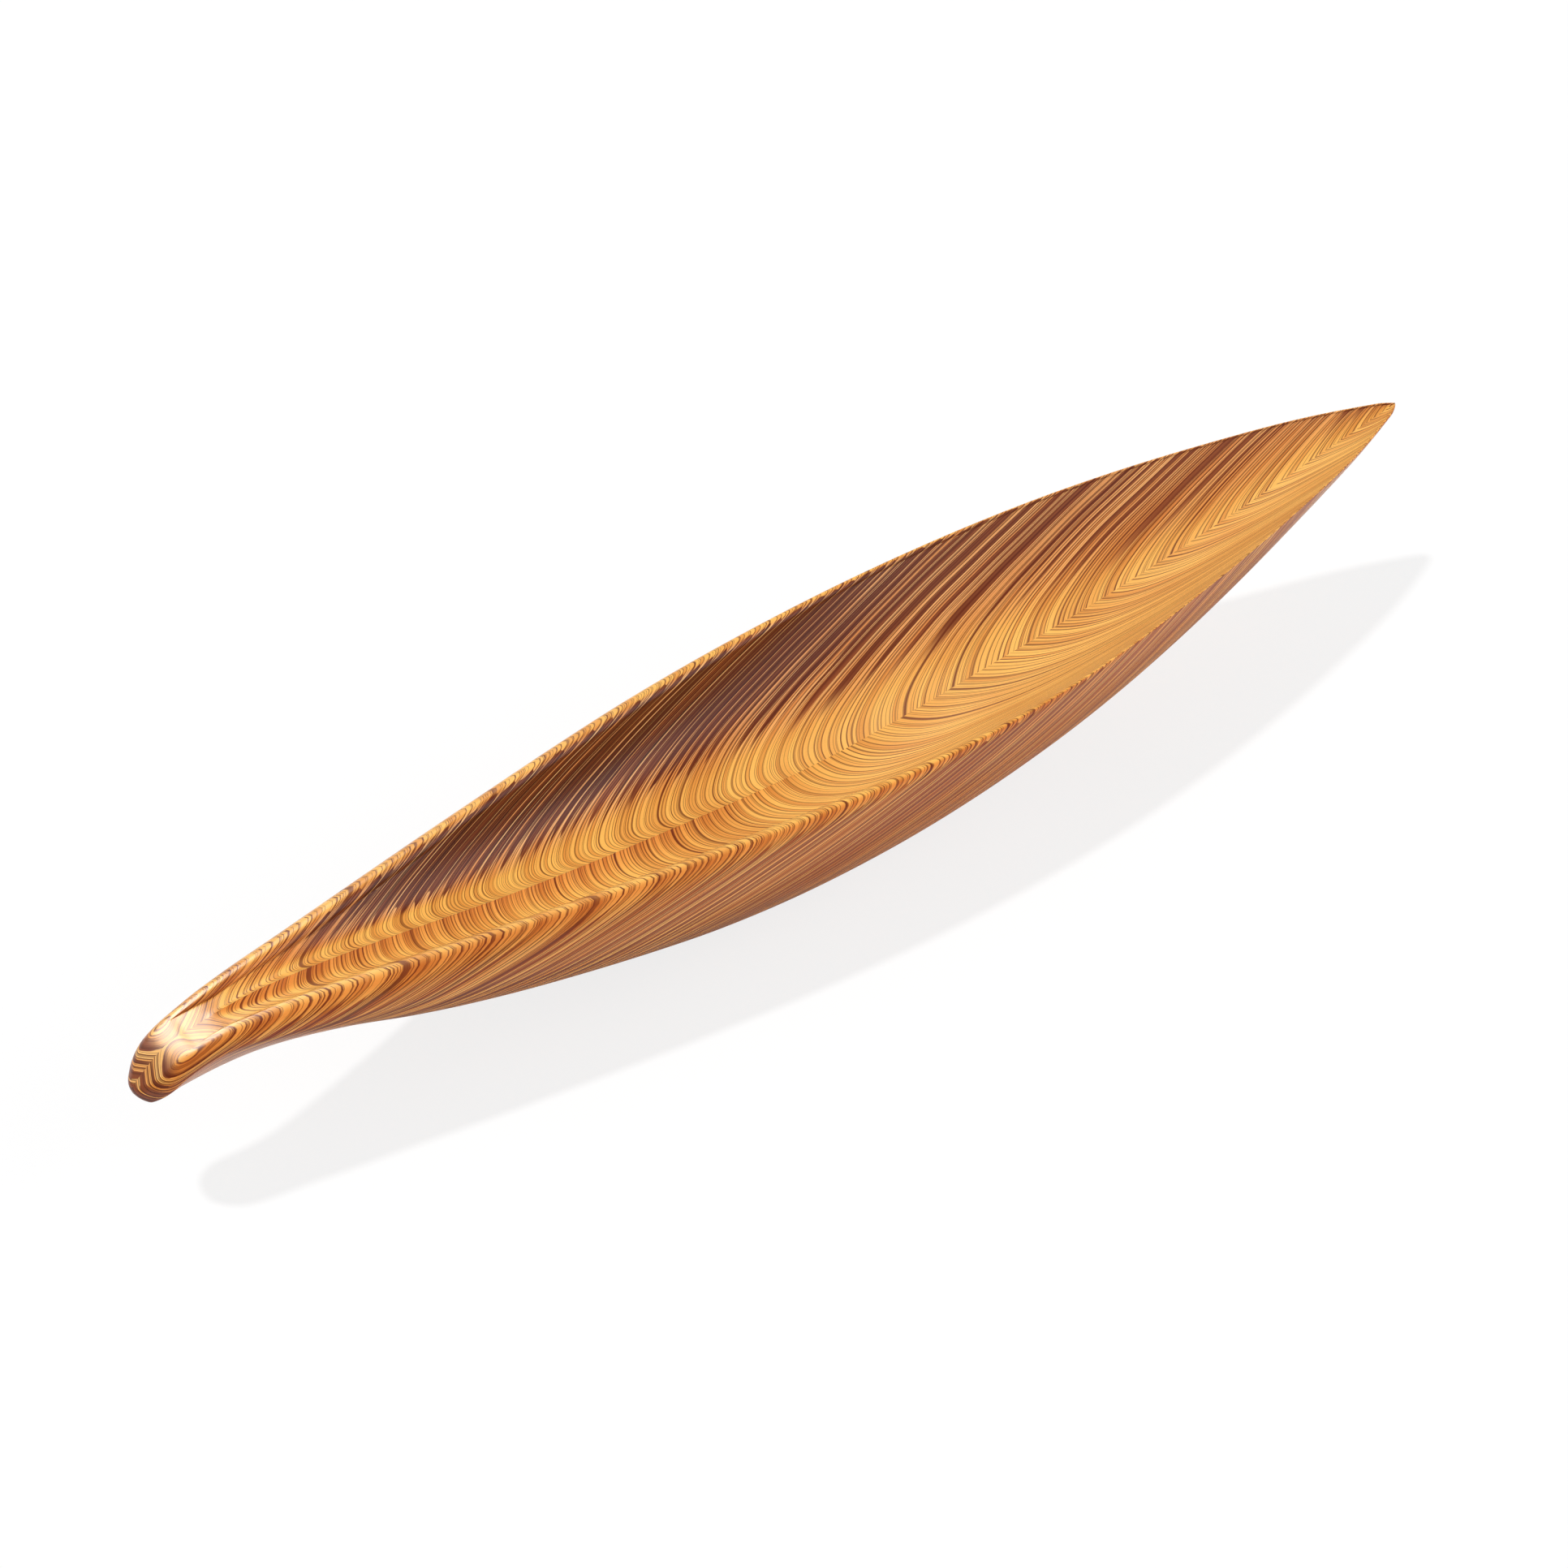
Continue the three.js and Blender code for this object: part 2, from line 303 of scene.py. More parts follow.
@dataclass
class SheetPieces:
    """Carves the fine pieces, one for each plywood sheet of each half."""

    form: CarvedForm = field(default_factory=CarvedForm)
    stack: PlywoodStack = field(default_factory=PlywoodStack)

    def carved_half(self, half: Half) -> bmesh.types.BMesh:
        """Lays a grid on the carved form of one half and closes it along the centre plane.

        Args:
            half: which half to make.

        Returns:
            A closed mesh in metres with its smooth normals kept in the layer carved_normal.
        """
        rings = self.form.half_rings(self.form.places())
        rings[..., 1] = np.maximum(rings[..., 1], self.stack.hairline_mm / 2) * half.value
        rings *= MM
        low, high = (np.array(corner) for corner in CAD_BOX)
        rings = np.clip(rings, [low[0], low[1], -np.inf], high)
        rows, columns = rings.shape[:2]
        bm = bmesh.new()
        bmesh.ops.create_grid(bm, x_segments=rows - 1, y_segments=columns - 1, size=0.5)
        for vert in bm.verts:
            row = round((vert.co.x + 0.5) * (rows - 1))
            column = round((vert.co.y + 0.5) * (columns - 1))
            vert.co = rings[row, column]
        bmesh.ops.remove_doubles(bm, verts=bm.verts, dist=WELD)
        bmesh.ops.dissolve_degenerate(bm, edges=bm.edges, dist=SLIVER)
        bmesh.ops.recalc_face_normals(bm, faces=bm.faces)
        bm.normal_update()
        carved = bm.verts.layers.float_vector.new("carved_normal")
        for vert in bm.verts:
            vert[carved] = self.surface_normal(vert)
        self.cut(bm, Vector((0, 0, 0)), Vector((0, 0, -1)))
        return bm

    @staticmethod
    def surface_normal(vert: bmesh.types.BMVert) -> Vector:
        """The smooth normal of the carved skin at a vertex, the centre wall left out."""
        total = Vector()
        for corner in vert.link_loops:
            face = corner.face
            if abs(face.normal.y) < SIDEWAYS or abs(face.calc_center_median().y) > AT_WALL:
                total += face.normal * corner.calc_angle()
        return total.normalized() if total.length > 0 else vert.normal.copy()

    @staticmethod
    def cut(bm: bmesh.types.BMesh, point: Vector, normal: Vector) -> None:
        """Cuts away what lies beyond a plane and closes the cut with one flat face.

        Args:
            bm: the closed mesh to cut.
            point: a point on the plane.
            normal: the plane's normal, pointing to the side that goes.
        """
        geometry = bm.verts[:] + bm.edges[:] + bm.faces[:]
        cut = bmesh.ops.bisect_plane(
            bm, geom=geometry, dist=ON_PLANE, plane_co=point, plane_no=normal, clear_outer=True)
        edges = [e for e in cut["geom_cut"] if isinstance(e, bmesh.types.BMEdge) and e.is_boundary]
        if edges:
            bmesh.ops.holes_fill(bm, edges=edges, sides=0)

    def sheets(self, half: Half) -> list[bmesh.types.BMesh]:
        """Slices one carved half into its sheets, from the stem to the tip.

        Args:
            half: which half to slice.

        Returns:
            One closed mesh for each sheet.
        """
        rest = self.carved_half(half)
        normal = self.stack.normal(half)
        gap = self.stack.hairline_mm / 2 * self.stack.slant
        pieces = []
        for index in range(self.stack.sheets):
            top = Vector((0, 0, (self.stack.boundary_mm(index) - gap) * MM))
            bottom = Vector((0, 0, (self.stack.boundary_mm(index + 1) + gap) * MM))
            piece = rest.copy()
            self.cut(piece, top, normal)
            self.cut(piece, bottom, -normal)
            self.cut(rest, bottom, normal)
            pieces.append(piece)
        rest.free()
        return pieces

    def build(self, half: Half, material: bpy.types.Material) -> list[bpy.types.Object]:
        """Makes the objects of one half and puts each in the place of its CAD node.

        Args:
            half: which half to build.
            material: the wood finish.

        Returns:
            The finished objects.
        """
        built = []
        for number, bm in enumerate(self.sheets(half), start=1):
            node = f"{half.name.lower()}_sheet_{number:02d}"
            piece = self.as_object(bm, node + "_wood")
            piece.data.materials.append(material)
            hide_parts(node)
            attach(piece, "root")
            built.append(piece)
            log.info("%s: %d faces", piece.name, len(piece.data.polygons))
        return built

    @staticmethod
    def as_object(bm: bmesh.types.BMesh, name: str) -> bpy.types.Object:
        """Turns a sheet's mesh into an object whose carved faces keep the whole dish's shading.

        Args:
            bm: the closed mesh of the sheet, which is freed.
            name: the object's name.

        Returns:
            The object, linked to the scene.
        """
        carved = bm.verts.layers.float_vector["carved_normal"]
        bmesh.ops.dissolve_degenerate(bm, edges=bm.edges, dist=FINE_SLIVER)
        bm.normal_update()
        bm.verts.index_update()
        normals = []
        for face in bm.faces:
            face.smooth = True
            for corner in face.loops:
                kept = corner.vert[carved]
                is_skin = face.normal.dot(kept) > CARVED and len(face.verts) < CUT_CORNERS
                normals.append(kept.normalized() if is_skin else face.normal.copy())
        mesh = bpy.data.meshes.new(name)
        bm.to_mesh(mesh)
        bm.free()
        mesh.attributes.remove(mesh.attributes["carved_normal"])
        mesh.normals_split_custom_set(normals)
        piece = bpy.data.objects.new(name, mesh)
        bpy.context.scene.collection.objects.link(piece)
        return piece


def linear(hex_colour: str) -> tuple[float, float, float, float]:
    """Turns an sRGB hex colour into the linear colour that a shader takes.

    Args:
        hex_colour: six hex digits.

    Returns:
        Red, green, blue and an alpha of 1.
    """
    channels = [int(hex_colour[i:i + 2], 16) / 255 for i in (0, 2, 4)]
    red, green, blue = (
        c / 12.92 if c <= 0.04045 else ((c + 0.055) / 1.055) ** 2.4 for c in channels)
    return red, green, blue, 1.0


def add_node(
    tree: bpy.types.NodeTree,
    kind: str,
    *values: object,
    named: dict[str, object] | None = None,
    **settings: object,
) -> bpy.types.Node:
    """Adds a node with its settings, its values and its links.

    Args:
        tree: the node tree.
        kind: the node's type name without "ShaderNode".
        values: what goes into the input sockets in use, in their order. A node among them gives
            its first output in use.
        named: what goes into input sockets by their names.
        settings: attributes of the node itself.

    Returns:
        The new node.
    """
    node = tree.nodes.new("ShaderNode" + kind)
    for name, value in settings.items():
        setattr(node, name, value)
    in_use = [place for place, socket in enumerate(node.inputs) if socket.enabled]
    for place, value in (dict(zip(in_use, values)) | (named or {})).items():
        if isinstance(value, bpy.types.Node):
            value = next(output for output in value.outputs if output.enabled)
        if isinstance(value, bpy.types.NodeSocket):
            tree.links.new(value, node.inputs[place])
        else:
            node.inputs[place].default_value = value
    return node


@dataclass(frozen=True)
class SurfaceCut:
    """How the surface at a point lies to the fibres, as nodes whose values run from 0 to 1.

    Args:
        end_grain_and_shade: how much end grain shows, which on the far wall of the hollow is mostly
            painted shade.
        stem_share: how much of it lies in the veneers that run along the dish.
        is_outside: 1 on the outer walls and 0 in the hollow.
        painted_shade: how far the surface turns to the near side, away from the key lamp, which
            sets its painted shade.
    """

    end_grain_and_shade: bpy.types.Node
    stem_share: bpy.types.Node
    is_outside: bpy.types.Node
    painted_shade: bpy.types.Node


@dataclass(frozen=True)
class LaminatedBirch:
    """Rotary-cut birch veneers glued with dark brown resin glue, sanded fine and lacquered satin.

    The eye gets honey-coloured wood with thin brown glue lines where the surface runs along the
    fibres. On steep walls it cuts across them: there the end grain has drunk the glue, the lines
    swell to brown bands and only some veneers stay bright, fewer the squarer the cut. On the wall
    of the hollow on the far half, at positive y, far more end grain is drawn as painted shade, so
    it looks darkest, and the one on the near half stays golden. The bright veneers of end grain in
    the hollow are paler, partly a painted sheen. Faces that turn to the near side, away from the
    key lamp, are painted redder and darker with wider lines, as painted shade. Between the glue
    lines run finer growth lines, and a thin satin lacquer lies over all.

    A name that ends in range holds the two readings between which something changes, and then
    the values at its two ends where they aren't 0 and 1. Thirst is how much of the stain the end
    grain takes.
    """

    stack: PlywoodStack

    # Colours along the fibres, in end grain in the hollow, outside and at the stem, and of lines
    face_light: str = "FFC05C"
    face_warm: str = "E69A40"
    # Painted shade: faces turned to the near side, away from the key lamp, are painted redder and
    # darker
    painted_shade_pale: str = "F2963E"
    painted_shade_warm: str = "CE6E24"
    # Partly painted sheen: the bright veneers in end grain in the hollow are paler, for the shine
    # of long fibres
    end_light_and_sheen: str = "FFD292"
    end_warm_and_sheen: str = "F2A860"
    end_dim: str = "5E220C"
    end_mid: str = "985028"
    outside_light: str = "FFC86E"
    outside_warm: str = "FA9E40"
    outside_dim: str = "983A08"
    outside_mid: str = "D07024"
    stem_dim: str = "8A4420"
    line: str = "7C3808"
    painted_shade_line: str = "782A06"
    end_dark: str = "521E0A"
    end_darkest: str = "361004"

    # The veneers' waves, their uneven thickness and the step between the halves
    warp_mm: float = 0.7
    warp_size_mm: float = 55.0
    half_shift_mm: float = 0.2
    group_mm: float = 1.8
    group_strength: float = 0.9
    uneven: float = 0.8

    # Where and how much the end grain soaks up. The far hollow wall's extra soak over the near one
    # is painted shade, least at the stem and less toward the tip
    far_hollow_thirst_and_shade: float = 1.0
    near_hollow_thirst: float = 0.12
    outside_thirst: float = 0.6
    stem_thirst: float = 0.15
    stem_mm_range: Range = (-245.0, -190.0)
    tip_mm_range: Range = (-120.0, 250.0, 1.0, 0.6)
    across_range: Range = (0.45, 1.0)
    along_range: Range = (0.1, 0.65, 0.0, 0.9)
    # How far a face must turn to the near side for its painted shade to start and to be full
    painted_shade_range: Range = (0.05, 0.6)

    # The glue lines' half widths and soft edges, their faint stretches and the growth lines
    line_half_mm: float = 0.09
    # Painted shade: glue lines are drawn wider on faces turned to the near side
    painted_shade_line_half_mm: float = 0.13
    end_half_mm: float = 0.22
    soft_mm: float = 0.03
    streaks_per_veneer: float = 3.5
    faint_range: Range = (0.35, 0.6, 0.35, 1.0)
    ring_mm: float = 0.75
    ring_range: Range = (0.03, 0.09, 0.65, 0.0)

    # How many veneers share a bright one, how far it reaches, and where the dim ones are paler
    bright_every: float = 2.8
    reach_range: Range = (0.0, 0.8, 0.6, 0.1)
    reach_fade: float = 0.03
    dim_range: Range = (0.0, 0.35)
    mid_mm_range: Range = (-60.0, 180.0)
    stem_dim_range: Range = (0.0, 0.3)

    # The grain. Real pores are a tenth of a millimetre wide, and these are coarser, to show
    pore_mm: float = 0.625
    pore_stretch: tuple[float, float, float] = (0.35, 2.2, 2.2)
    hair_mm: float = 0.125
    patch_mm: float = 100 / 3
    patch_share: float = 0.5
    hair_share: float = 0.5
    veneer_share: float = 0.6
    warm_range: Range = (0.45, 1.15)
    speckle_range: Range = (0.5, 0.8, 0.0, 0.2)

    # The sanded surface and its satin lacquer
    ior: float = 1.38
    roughness_range: Range = (0.2, 0.8, 0.3, 0.42)
    coat_weight: float = 0.12
    coat_roughness: float = 0.3
    coat_ior: float = 1.5
    bump_strength: float = 0.12
    bump_mm: float = 0.1
    line_depth: float = 0.5

    def level(
        self, add: AddNode, in_mm: bpy.types.Node, axes: bpy.types.NodeOutputs, side: bpy.types.Node
    ) -> bpy.types.Node:
        """Measures how far up the stack a point lies, with the veneers' slight waves.

        Args:
            add: adds a node to the material.
            in_mm: the point's place in mm.
            axes: its three coordinates.
            side: 1 on the far half and -1 on the near half.

        Returns:
            The height in mm on the upright.
        """
        climbed = add("Math", axes["X"], -self.stack.climb, axes["Z"], operation="MULTIPLY_ADD")
        across = add("Math", axes["Y"], operation="ABSOLUTE")
        flat = add("Math", across, self.stack.fall, climbed, operation="MULTIPLY_ADD")
        waves = add("TexNoise", named={
            "Vector": in_mm, "Scale": 1 / self.warp_size_mm, "Detail": 1.0})
        waved = add("Math", waves, self.warp_mm * NOISE_SPAN, flat, operation="MULTIPLY_ADD")
        return add("Math", side, self.half_shift_mm, waved, operation="MULTIPLY_ADD")

    def count(self, add: AddNode, level: bpy.types.Node) -> bpy.types.Node:
        """Counts the veneers up the stack, in groups of thin and thick ones.

        Args:
            add: adds a node to the material.
            level: the height up the stack.

        Returns:
            The number of veneers below the point.
        """
        groups = add("TexNoise", noise_dimensions="1D", named={
            "W": level, "Scale": 1 / self.group_mm, "Detail": 1.0})
        grouped = add("Math", groups, self.group_strength * NOISE_SPAN, operation="MULTIPLY")
        per_mm = 1 / (self.stack.veneer_mm * self.stack.slant)
        return add("Math", level, per_mm, grouped, operation="MULTIPLY_ADD")

    def cut(self, add: AddNode, axes: bpy.types.NodeOutputs, side: bpy.types.Node) -> SurfaceCut:
        """Reads how squarely the surface cuts the fibres, which run across the dish or along it.

        Args:
            add: adds a node to the material.
            axes: the point's three coordinates in mm.
            side: 1 on the far half and -1 on the near half.

        Returns:
            The shares of end grain, with the painted shade of the far hollow wall, and the painted
            shade of faces turned to the near side.
        """
        normal = add("NewGeometry").outputs["Normal"]
        sides = add("CombineXYZ", side, side, 1.0)
        mirrored = add("VectorMath", normal, sides, operation="MULTIPLY")
        outward = Vector((0, 1, -self.stack.fall)).normalized()
        to_stem = Vector((-1, 0, -self.stack.climb)).normalized()
        end_across = add("VectorMath", mirrored, outward, operation="DOT_PRODUCT")
        end_along = add("VectorMath", normal, to_stem, operation="DOT_PRODUCT")
        # Painted shade: how much a face turns to the near side, away from the key lamp
        shade_side = add("VectorMath", normal, TO_NEAR_SIDE, operation="DOT_PRODUCT")

        # Painted shade: the far half's hollow wall gets far more end grain than the near half's, so
        # it is drawn darker
        from_stem = add("MapRange", axes["X"], *self.stem_mm_range, self.stem_thirst,
                        self.far_hollow_thirst_and_shade, **SMOOTH)
        to_tip = add("MapRange", axes["X"], *self.tip_mm_range)
        far_thirst_and_shade = add("Math", from_stem, to_tip, operation="MULTIPLY")
        hollow_thirst_and_shade = add("MapRange", side, -1.0, 1.0, self.near_hollow_thirst, far_thirst_and_shade)
        is_outside = add("Math", end_across, 0.0, operation="GREATER_THAN")
        thirst_and_shade = add("Mix", is_outside, hollow_thirst_and_shade, self.outside_thirst)

        steepness = add("Math", end_across, operation="ABSOLUTE")
        cut_across = add("MapRange", steepness, *self.across_range)
        across_grain_and_shade = add("Math", cut_across, thirst_and_shade, operation="MULTIPLY")
        stem_share = add("MapRange", end_along, *self.along_range)
        end_grain_and_shade = add("Math", across_grain_and_shade, stem_share, operation="MAXIMUM")
        painted_shade = add("MapRange", shade_side, *self.painted_shade_range, **SMOOTH)
        return SurfaceCut(end_grain_and_shade, stem_share, is_outside, painted_shade)

    def dark_lines(
        self, add: AddNode, level: bpy.types.Node, count: bpy.types.Node, cut: SurfaceCut
    ) -> bpy.types.Node:
        """Draws the glue lines, which swell to bands in end grain, and the growth lines.

        Args:
            add: adds a node to the material.
            level: the height up the stack.
            count: the number of veneers below the point.
            cut: how the surface lies to the fibres.

        Returns:
            How dark the line is, from 0 to 1.
        """
        edge = add("TexVoronoi", voronoi_dimensions="1D", feature="DISTANCE_TO_EDGE", named={
            "W": count, "Scale": 1.0, "Randomness": self.uneven})
        edge_mm = add("Math", edge, self.stack.veneer_mm, operation="MULTIPLY")
        # Lines are wider on faces with painted shade and in end grain
        thin = add("Mix", cut.painted_shade, self.line_half_mm, self.painted_shade_line_half_mm)
        band = add("Mix", cut.end_grain_and_shade, thin, self.end_half_mm)
        low = add("Math", band, self.soft_mm, operation="SUBTRACT")
        high = add("Math", band, self.soft_mm, operation="ADD")
        in_band = add("MapRange", edge_mm, low, high, 1.0, 0.0, **SMOOTH)
        streaks = add("TexNoise", noise_dimensions="1D", named={
            "W": count, "Scale": self.streaks_per_veneer, "Detail": 2.0})
        faint = add("MapRange", streaks, *self.faint_range, **SMOOTH)
        strength = add("Math", faint, cut.end_grain_and_shade, operation="MAXIMUM")
        glue = add("Math", in_band, strength, operation="MULTIPLY")
        ring = add("TexVoronoi", voronoi_dimensions="1D", feature="DISTANCE_TO_EDGE", named={
            "W": level, "Scale": 1 / self.ring_mm, "Randomness": 1.0})
        growth = add("MapRange", ring, *self.ring_range)
        return add("Math", glue, growth, operation="MAXIMUM")

    def dim_share(self, add: AddNode, count: bpy.types.Node, cut: SurfaceCut) -> bpy.types.Node:
        """Dims the end grain away from a few bright veneers, fewer the squarer the cut. On the far
        hollow wall this dimming is mostly painted shade.

        Args:
            add: adds a node to the material.
            count: the number of veneers below the point.
            cut: how the surface lies to the fibres.

        Returns:
            How dim the wood is, from 0 to 1.
        """
        to_bright = add("TexVoronoi", voronoi_dimensions="1D", feature="F1", named={
            "W": count, "Scale": 1 / self.bright_every, "Randomness": self.uneven})
        reach = add("MapRange", cut.end_grain_and_shade, *self.reach_range)
        reach_end = add("Math", reach, self.reach_fade, operation="ADD")
        away = add("MapRange", to_bright, reach, reach_end, **SMOOTH)
        soaked = add("MapRange", cut.end_grain_and_shade, *self.dim_range, **SMOOTH)
        return add("Math", away, soaked, operation="MULTIPLY")

    def warmth(
        self, add: AddNode, in_mm: bpy.types.Node, level: bpy.types.Node,
        draw: bpy.types.NodeOutputs
    ) -> bpy.types.Node:
        """Varies the warmth from veneer to veneer, with fine hairs and broad patches.

        Args:
            add: adds a node to the material.
            in_mm: the point's place in mm.
            level: the height up the stack.
            draw: three random numbers of the veneer.

        Returns:
            How warm the wood is, from 0 to 1.
        """
        broad = add("TexNoise", named={"Vector": in_mm, "Scale": 1 / self.patch_mm, "Detail": 2.0})
        hairs = add("TexNoise", noise_dimensions="1D", named={
            "W": level, "Scale": 1 / self.hair_mm, "Detail": 2.0, "Roughness": 0.7})
        fine = add("Math", hairs, self.hair_share, operation="MULTIPLY")
        patches = add("Math", broad, self.patch_share, fine, operation="MULTIPLY_ADD")
        tone = add("Math", draw[0], self.veneer_share, patches, operation="MULTIPLY_ADD")
        return add("MapRange", tone, *self.warm_range, **SMOOTH)

    def bright_wood(self, add: AddNode, warmth: bpy.types.Node, cut: SurfaceCut) -> bpy.types.Node:
        """Colours the bright veneers.

        Args:
            add: adds a node to the material.
            warmth: how warm the wood is.
            cut: how the surface lies to the fibres.

        Returns:
            The colour.
        """
        face, shade_side, inside, outside = (
            add("Mix", warmth, linear(light), linear(warm), data_type="RGBA")
            for light, warm in (
                (self.face_light, self.face_warm), (self.painted_shade_pale, self.painted_shade_warm),
                (self.end_light_and_sheen, self.end_warm_and_sheen), (self.outside_light, self.outside_warm)))
        # Painted shade: faces turned to the near side take the redder, darker colours
        along = add("Mix", cut.painted_shade, face, shade_side, data_type="RGBA")
        # The end grain's pale colours in the hollow are partly painted sheen
        end = add("Mix", cut.is_outside, inside, outside, data_type="RGBA")
        return add("Mix", cut.end_grain_and_shade, along, end, data_type="RGBA")

    def dim_wood(
        self, add: AddNode, axes: bpy.types.NodeOutputs, draw: bpy.types.NodeOutputs,
        cut: SurfaceCut
    ) -> bpy.types.Node:
        """Colours the soaked veneers, lighter toward the tip and at the stem's end.

        Args:
            add: adds a node to the material.
            axes: the point's three coordinates in mm.
            draw: three random numbers of the veneer.
            cut: how the surface lies to the fibres.

        Returns:
            The colour.
        """
        to_tip = add("MapRange", axes["X"], *self.mid_mm_range)
        paler = add("Math", draw[1], to_tip, operation="MAXIMUM")
        inside = add("Mix", paler, linear(self.end_dim), linear(self.end_mid), data_type="RGBA")
        outside = add("Mix", draw[1], linear(self.outside_dim), linear(self.outside_mid),
                      data_type="RGBA")
        walls = add("Mix", cut.is_outside, inside, outside, data_type="RGBA")
        at_stem = add("MapRange", cut.stem_share, *self.stem_dim_range, **SMOOTH)
        return add("Mix", at_stem, walls, linear(self.stem_dim), data_type="RGBA")

    def line_colour(
        self, add: AddNode, draw: bpy.types.NodeOutputs, cut: SurfaceCut
    ) -> bpy.types.Node:
        """Colours the dark lines.

        Args:
            add: adds a node to the material.
            draw: three random numbers of the veneer.
            cut: how the surface lies to the fibres.

        Returns:
            The colour.
        """
        # Painted shade: lines on faces turned to the near side are darker
        along = add("Mix", cut.painted_shade, linear(self.line), linear(self.painted_shade_line),
                    data_type="RGBA")
        end = add("Mix", draw[2], linear(self.end_dark), linear(self.end_darkest),
                  data_type="RGBA")
        return add("Mix", cut.end_grain_and_shade, along, end, data_type="RGBA")

    def material(self) -> bpy.types.Material:
        """Builds the wood's node material.

        Returns:
            The material, which reads Object coordinates.
        """
        material = bpy.data.materials.new("laminated_birch")
        material.use_nodes = True
        material.node_tree.nodes.clear()
        add = partial(add_node, material.node_tree)

        place = add("TexCoord").outputs["Object"]
        in_mm = add("VectorMath", place, 1 / MM, operation="SCALE")
        axes = add("SeparateXYZ", in_mm).outputs
        side = add("Math", axes["Y"], operation="SIGN")
        level = self.level(add, in_mm, axes, side)
        count = self.count(add, level)
        veneer = add("TexVoronoi", voronoi_dimensions="1D", feature="F1", named={
            "W": count, "Scale": 1.0, "Randomness": self.uneven})
        draw = add("SeparateColor", veneer.outputs["Color"]).outputs
        cut = self.cut(add, axes, side)
        dark = self.dark_lines(add, level, count, cut)

        bright = self.bright_wood(add, self.warmth(add, in_mm, level, draw), cut)
        dim = self.dim_wood(add, axes, draw, cut)
        light = add("Mix", self.dim_share(add, count, cut), bright, dim, data_type="RGBA")
        wood = add("Mix", dark, light, self.line_colour(add, draw, cut), data_type="RGBA")

        # Fine pores, long along the dish, which darken the wood, roughen it and dent it
        stretched = add("VectorMath", in_mm, self.pore_stretch, operation="MULTIPLY")
        pores = add("TexNoise", named={
            "Vector": stretched, "Scale": 1 / self.pore_mm, "Detail": 3.0, "Roughness": 0.7})
        speckle = add("MapRange", pores, *self.speckle_range, **SMOOTH)
        colour = add("Mix", speckle, wood, linear(self.line), data_type="RGBA")
        roughness = add("MapRange", pores, *self.roughness_range)
        height = add("Math", dark, -self.line_depth, pores, operation="MULTIPLY_ADD")
        bump = add("Bump", named={
            "Strength": self.bump_strength, "Distance": self.bump_mm * MM, "Height": height})
        shader = add("BsdfPrincipled", named={
            "Base Color": colour, "Roughness": roughness, "Normal": bump, "IOR": self.ior,
            "Coat Weight": self.coat_weight, "Coat Roughness": self.coat_roughness,
            "Coat IOR": self.coat_ior})
        add("OutputMaterial", shader)
        return material


@dataclass(frozen=True)
class DistantLamp:
    """A lamp so far off that its light falls evenly on the whole floor.

    Args:
        name: the lamp's name.
        direction: the way from the dish to the lamp.
        strength: its light on a square metre, in watts.
        width_deg: how wide it looks from the dish.
        only_gloss: whether it shows only in reflections.
    """

    name: str
    direction: tuple[float, float, float]
    strength: float
    width_deg: float
    only_gloss: bool = False

    def hang(self) -> None:
        """Puts the lamp into the scene."""
        lamp = bpy.data.lights.new(self.name, "SUN")
        lamp.energy = self.strength
        lamp.angle = math.radians(self.width_deg)
        hung = bpy.data.objects.new(self.name, lamp)
        hung.rotation_mode = "QUATERNION"
        hung.rotation_quaternion = Vector(self.direction).to_track_quat("Z", "Y")
        hung.visible_diffuse = not self.only_gloss
        bpy.context.scene.collection.objects.link(hung)


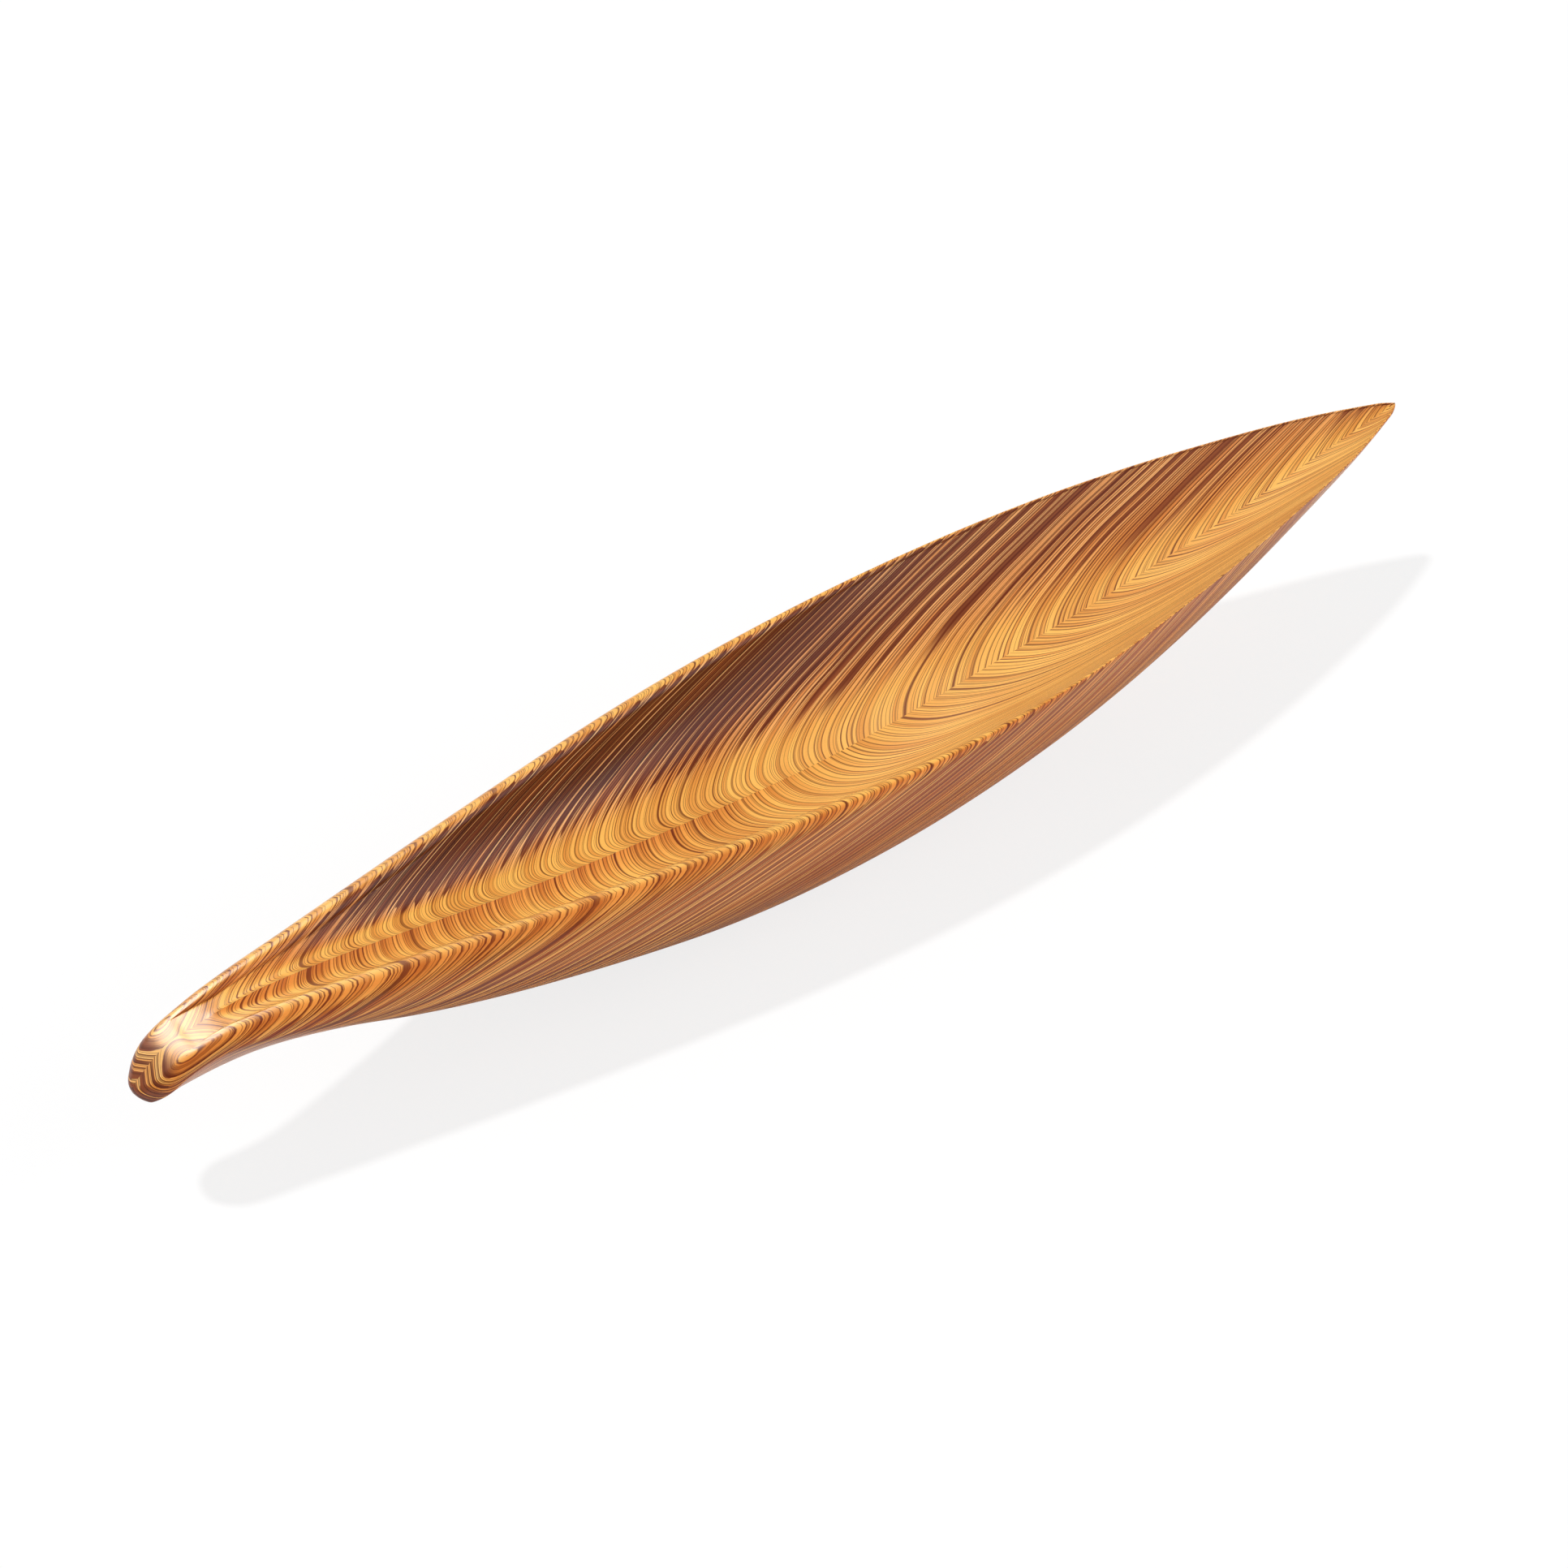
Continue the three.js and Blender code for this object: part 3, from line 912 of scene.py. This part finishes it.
@dataclass
class Studio:
    """The pale floor, the soft light and the camera of the photograph."""

    focal_px: float = 3099.9
    distance_mm: float = 998.34
    azimuth_deg: float = 40.314
    elevation_deg: float = 44.225
    roll_deg: float = -2.768
    centre_px: tuple[float, float] = (1044.41, 1003.17)
    target_mm: tuple[float, float, float] = (2.184, 0.0, -0.6)
    key: DistantLamp = DistantLamp("key", (-0.22, 0.337, 1.0), 2.12, 4.0)
    softbox: DistantLamp = DistantLamp("softbox", (-0.167, 0.724, 0.669), 7.0, 40.0, True)
    side: DistantLamp = DistantLamp("side", (0.8, -0.55, 0.3), 1.4, 60.0)
    fill_strength: float = 0.35
    floor_size: float = 12.0
    shadow_share: float = 0.2
    paper: str = "FAFAFA"
    white: str = "FFFFFF"

    def camera(self) -> None:
        """Sets up the camera that took the photograph."""
        azimuth, elevation, roll = (
            math.radians(a) for a in (self.azimuth_deg, self.elevation_deg, self.roll_deg))
        right = Vector((math.cos(azimuth), -math.sin(azimuth), 0))
        level = Vector((math.sin(azimuth), math.cos(azimuth), 0))
        upright = Vector((0, 0, 1))
        ahead = level * math.cos(elevation) - upright * math.sin(elevation)
        up = level * math.sin(elevation) + upright * math.cos(elevation)
        rolled_right = right * math.cos(roll) - up * math.sin(roll)
        rolled_up = right * math.sin(roll) + up * math.cos(roll)
        data = bpy.data.cameras.new("camera")
        data.sensor_width = 36.0
        data.lens = self.focal_px * data.sensor_width / IMAGE_SIZE
        data.shift_x = (IMAGE_SIZE / 2 - self.centre_px[0]) / IMAGE_SIZE
        data.shift_y = (self.centre_px[1] - IMAGE_SIZE / 2) / IMAGE_SIZE
        data.clip_start = 0.01
        data.clip_end = 50.0
        camera = bpy.data.objects.new("camera", data)
        place = (Vector(self.target_mm) - ahead * self.distance_mm) * MM
        turn = Matrix((rolled_right, rolled_up, -ahead)).transposed()
        camera.matrix_world = Matrix.Translation(place) @ turn.to_4x4()
        bpy.context.scene.collection.objects.link(camera)
        bpy.context.scene.camera = camera

    def floor(self) -> None:
        """Lays the plain floor, white to the camera but for part of the dish's shadow."""
        bm = bmesh.new()
        bmesh.ops.create_grid(bm, x_segments=1, y_segments=1, size=self.floor_size / 2)
        mesh = bpy.data.meshes.new("floor")
        bm.to_mesh(mesh)
        bm.free()
        floor = bpy.data.objects.new("floor", mesh)
        bpy.context.scene.collection.objects.link(floor)
        material = bpy.data.materials.new("floor_paper")
        material.use_nodes = True
        tree = material.node_tree
        tree.nodes.clear()
        paper = add_node(tree, "BsdfDiffuse", linear(self.paper))
        glow = add_node(tree, "Emission", linear(self.white), 1.0)
        seen = add_node(tree, "LightPath").outputs["Is Camera Ray"]
        share = add_node(tree, "Math", seen, 1 - self.shadow_share, operation="MULTIPLY")
        add_node(tree, "OutputMaterial", add_node(tree, "MixShader", share, paper, glow))
        mesh.materials.append(material)

    def lights(self) -> None:
        """Hangs the lamps and sets the world's soft fill, which casts no reflections."""
        self.key.hang()
        self.softbox.hang()
        self.side.hang()
        world = bpy.data.worlds.new("studio")
        bpy.context.scene.world = world
        world.cycles_visibility.glossy = False
        world.use_nodes = True
        tree = world.node_tree
        tree.nodes.clear()
        seen = add_node(tree, "LightPath").outputs["Is Camera Ray"]
        strength = add_node(tree, "MapRange", seen, 0.0, 1.0, self.fill_strength, 1.0)
        back = add_node(tree, "Background", linear(self.white), strength)
        add_node(tree, "OutputWorld", back)

    def build(self) -> None:
        """Makes the camera, the floor and the lights."""
        self.camera()
        self.floor()
        self.lights()


def main() -> None:
    """Builds the dish and its studio in order."""
    logging.basicConfig(level=logging.INFO, format="%(name)s: %(message)s")
    bpy.context.scene.view_settings.view_transform = "Standard"
    pieces = SheetPieces()
    wood = LaminatedBirch(pieces.stack).material()
    for half in Half:
        built = pieces.build(half, wood)
        log.info("%s half: %d sheets", half.name.lower(), len(built))
    Studio().build()
    log.info("studio: camera, floor and lights")


if __name__ == "__main__":
    main()
